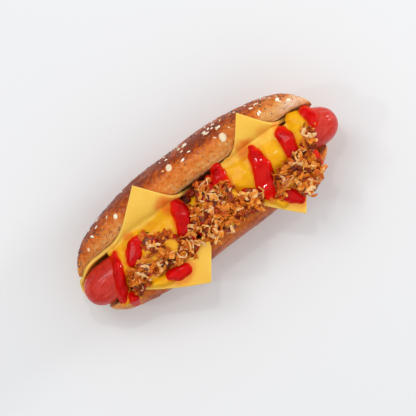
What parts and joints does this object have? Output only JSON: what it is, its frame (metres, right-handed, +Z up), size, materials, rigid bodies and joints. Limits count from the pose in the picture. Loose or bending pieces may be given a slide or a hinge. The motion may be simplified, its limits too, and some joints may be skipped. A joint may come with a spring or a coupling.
{
  "type": "hot dog",
  "caption": "Seeded bun cut along its length and filled with cheese slices, a sausage, stripes of ketchup and mustard, and crisp fried onions.",
  "frame": {"origin": "middle of the bounding box's footprint, on the surface the bun rests on", "axes": "+X along the sausage, +Y across to the seeded lobe of the bun, +Z up out of the cut"},
  "size_m": [0.2064, 0.0878, 0.0553],
  "materials": {
    "bun": "baked crust",
    "cheese": "soft satin",
    "sausage": "moist skin",
    "fried_onion": "crisp batter"
  },
  "bodies": {
    "root": {"bun": "bun", "cheese_slice_left": "cheese", "cheese_slice_right": "cheese", "sausage": "sausage", "onions_left": "fried_onion", "onions_middle": "fried_onion", "onions_right": "fried_onion"}
  },
  "joints": []
}
